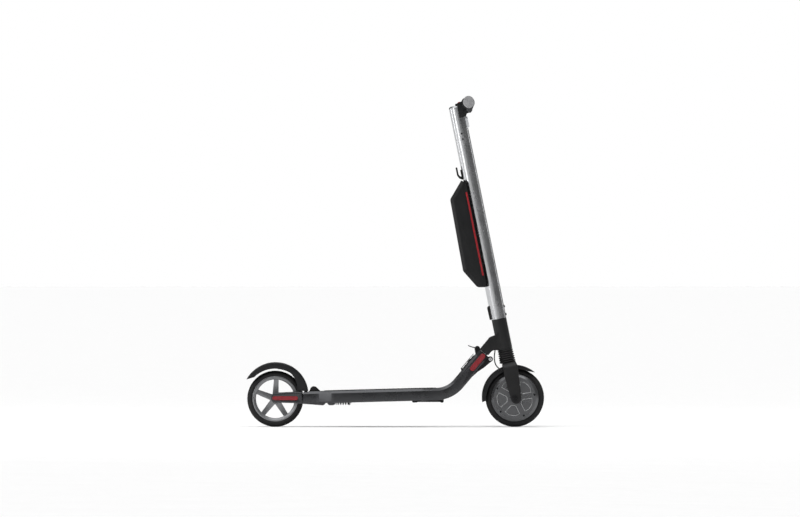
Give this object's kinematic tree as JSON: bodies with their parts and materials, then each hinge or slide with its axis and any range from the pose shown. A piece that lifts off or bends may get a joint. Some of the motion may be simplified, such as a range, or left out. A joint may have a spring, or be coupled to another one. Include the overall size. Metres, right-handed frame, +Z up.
{
  "type": "electric kick scooter",
  "caption": "Folding electric kick scooter with a straight deck, hub-motor front wheel, sprung fork, sprung rear arm, stem battery and handlebar.",
  "frame": {"origin": "on the ground, midway between the front and rear ends, on the centre plane", "axes": "+X forward, +Y to the rider's left, +Z up"},
  "size_m": [1.0176, 0.43, 1.1289],
  "materials": {
    "deck_paint": "dark graphite paint, fine satin texture",
    "hinge_paint": "black satin paint over cast alloy",
    "casting_paint": "charcoal matte paint over a cast surface",
    "deck_grip": "moulded black grip rubber",
    "belly_plate": "black painted plate",
    "bright_steel": "zinc-plated steel",
    "black_steel": "black oxide steel",
    "spring_steel": "dark spring steel",
    "stem_silver": "satin anodised tube",
    "steerer_alloy": "machined alloy",
    "pedal_alloy": "dark anodised alloy with bright worn edges",
    "kickstand_paint": "black painted alloy",
    "rim_alloy": "grey painted cast rim",
    "motor_alloy": "grey satin hub shell",
    "tyre_rubber": "black tyre rubber",
    "grip_rubber": "soft dark grip rubber",
    "bellows_rubber": "ribbed black rubber",
    "lead_rubber": "black cable sheath",
    "cap_alloy": "grey satin end cap",
    "black_plastic": "fine-textured black plastic",
    "lever_plastic": "grey plastic paddle",
    "fender_plastic": "dark grey moulded plastic",
    "display_glass": "smoked screen window",
    "button_plastic": "red button",
    "lamp_lens": "clear ribbed lens",
    "strip_red": "red light strip",
    "reflector_red": "red prism reflector",
    "pack_wrap": "blue shrink wrap over cells",
    "controller_case": "finned controller case",
    "stator_steel": "laminated core with windings"
  },
  "bodies": {
    "root": {"deck_frame": "deck_paint", "deck_mat": "deck_grip", "belly_cover": "belly_plate", "belly_screws": "black_steel", "deck_battery": "pack_wrap", "controller": "controller_case", "neck_reflectors": "reflector_red", "fold_clevis": "hinge_paint", "fold_pins": "bright_steel", "charge_socket": "black_plastic", "kickstand_bracket": "hinge_paint", "heel_stop": "bellows_rubber", "arm_pivot_pin": "bright_steel"},
    "fold_pedal": {"fold_pedal": "pedal_alloy"},
    "kickstand": {"kickstand": "kickstand_paint"},
    "charge_flap": {"charge_flap": "bellows_rubber"},
    "rear_arm": {"rear_arm": "deck_paint", "rear_reflectors": "reflector_red", "rear_axle_set": "bright_steel", "fender_hinge_pin": "bright_steel"},
    "rear_wheel": {"rear_tyre": "tyre_rubber", "rear_rim": "rim_alloy", "rear_bearings": "bright_steel"},
    "rear_rod": {"pull_rod": "bright_steel", "rear_spring": "spring_steel"},
    "rear_fender": {"rear_fender": "fender_plastic", "brake_pad": "bellows_rubber"},
    "front_frame": {"head_casting": "casting_paint", "headset_bearings": "bright_steel", "motor_cable": "lead_rubber"},
    "steering": {"steerer_tube": "steerer_alloy", "stem_tube": "stem_silver", "stem_screws": "black_steel", "handlebar": "stem_silver", "head_housing": "black_plastic", "display": "display_glass", "headlight": "lamp_lens", "grips": "grip_rubber", "grip_caps": "cap_alloy", "control_pods": "black_plastic", "bag_hook": "black_plastic", "cable_cover": "black_plastic", "battery_saddle": "black_plastic", "battery_cover": "black_plastic", "battery_strips": "strip_red", "battery_cells": "pack_wrap", "bellows": "bellows_rubber"},
    "power_button": {"power_button": "button_plastic"},
    "throttle_lever": {"throttle_lever": "lever_plastic"},
    "brake_lever": {"brake_lever": "lever_plastic"},
    "fork": {"fork": "casting_paint", "front_fender": "fender_plastic", "front_axle_set": "black_steel", "motor_stator": "stator_steel", "fork_spring": "spring_steel"},
    "front_wheel": {"front_tyre": "tyre_rubber", "motor_shell": "motor_alloy", "motor_cover": "motor_alloy", "motor_screws": "black_steel", "front_bearings": "bright_steel"}
  },
  "joints": [
    {"name": "stem_fold", "type": "hinge", "parent": "root", "child": "front_frame", "pos_m": [0.281, 0, 0.267], "axis": [0, -1, 0], "range_deg": [0, 86]},
    {"name": "steer", "type": "hinge", "parent": "front_frame", "child": "steering", "pos_m": [0.409, 0, 0.1], "axis": [-0.1977, 0, 0.9803], "range_deg": [-50, 50], "deforming": ["motor_cable"]},
    {"name": "fork_travel", "type": "slide", "parent": "steering", "child": "fork", "axis": [-0.1977, 0, 0.9803], "range_m": [0, 0.012], "stiffness_N_per_m": 12000, "springref_m": -0.02, "deforming": ["bellows", "fork_spring"]},
    {"name": "front_wheel_spin", "type": "hinge", "parent": "fork", "child": "front_wheel", "pos_m": [0.409, 0, 0.1], "axis": [0, 1, 0], "continuous": true},
    {"name": "rear_arm_swing", "type": "hinge", "parent": "root", "child": "rear_arm", "pos_m": [-0.247, 0, 0.109], "axis": [0, 1, 0], "range_deg": [0, 6], "stiffness_Nm_per_rad": 150, "springref_deg": -5.73},
    {"name": "rear_wheel_spin", "type": "hinge", "parent": "rear_arm", "child": "rear_wheel", "pos_m": [-0.41, 0, 0.096], "axis": [0, 1, 0], "continuous": true},
    {"name": "rear_rod_slide", "type": "slide", "parent": "root", "child": "rear_rod", "axis": [1, 0, 0], "range_m": [-0.0025, 0], "deforming": ["rear_spring"]},
    {"name": "rear_fender_press", "type": "hinge", "parent": "rear_arm", "child": "rear_fender", "pos_m": [-0.305, 0, 0.114], "axis": [0, -1, 0], "range_deg": [0, 3.2], "stiffness_Nm_per_rad": 8, "springref_deg": -8.59},
    {"name": "throttle_press", "type": "hinge", "parent": "steering", "child": "throttle_lever", "pos_m": [0.24973, 0, 1.1074], "axis": [0, -1, 0], "range_deg": [0, 25], "stiffness_Nm_per_rad": 0.6, "springref_deg": -20.05},
    {"name": "brake_press", "type": "hinge", "parent": "steering", "child": "brake_lever", "pos_m": [0.24973, 0, 1.1074], "axis": [0, -1, 0], "range_deg": [0, 25], "stiffness_Nm_per_rad": 0.8, "springref_deg": -20.05},
    {"name": "power_button_press", "type": "slide", "parent": "steering", "child": "power_button", "axis": [0.4037, 0, -0.9149], "range_m": [0, 0.0015], "stiffness_N_per_m": 800, "springref_m": -0.001},
    {"name": "fold_pedal_press", "type": "hinge", "parent": "root", "child": "fold_pedal", "pos_m": [0.281, 0, 0.267], "axis": [0, -1, 0], "range_deg": [0, 18], "stiffness_Nm_per_rad": 1.5, "springref_deg": -17.19},
    {"name": "kickstand_swing", "type": "hinge", "parent": "root", "child": "kickstand", "pos_m": [0.16, 0.036, 0.09], "axis": [0, -0.8821, -0.4711], "range_deg": [0, 105]},
    {"name": "charge_flap_open", "type": "hinge", "parent": "root", "child": "charge_flap", "pos_m": [0.22697, 0, 0.19897], "axis": [0, -1, 0], "range_deg": [0, 100]}
  ],
  "couplings": [
    {"joint": "rear_rod_slide", "follows": "rear_arm_swing", "m_per_rad": -0.022}
  ]
}
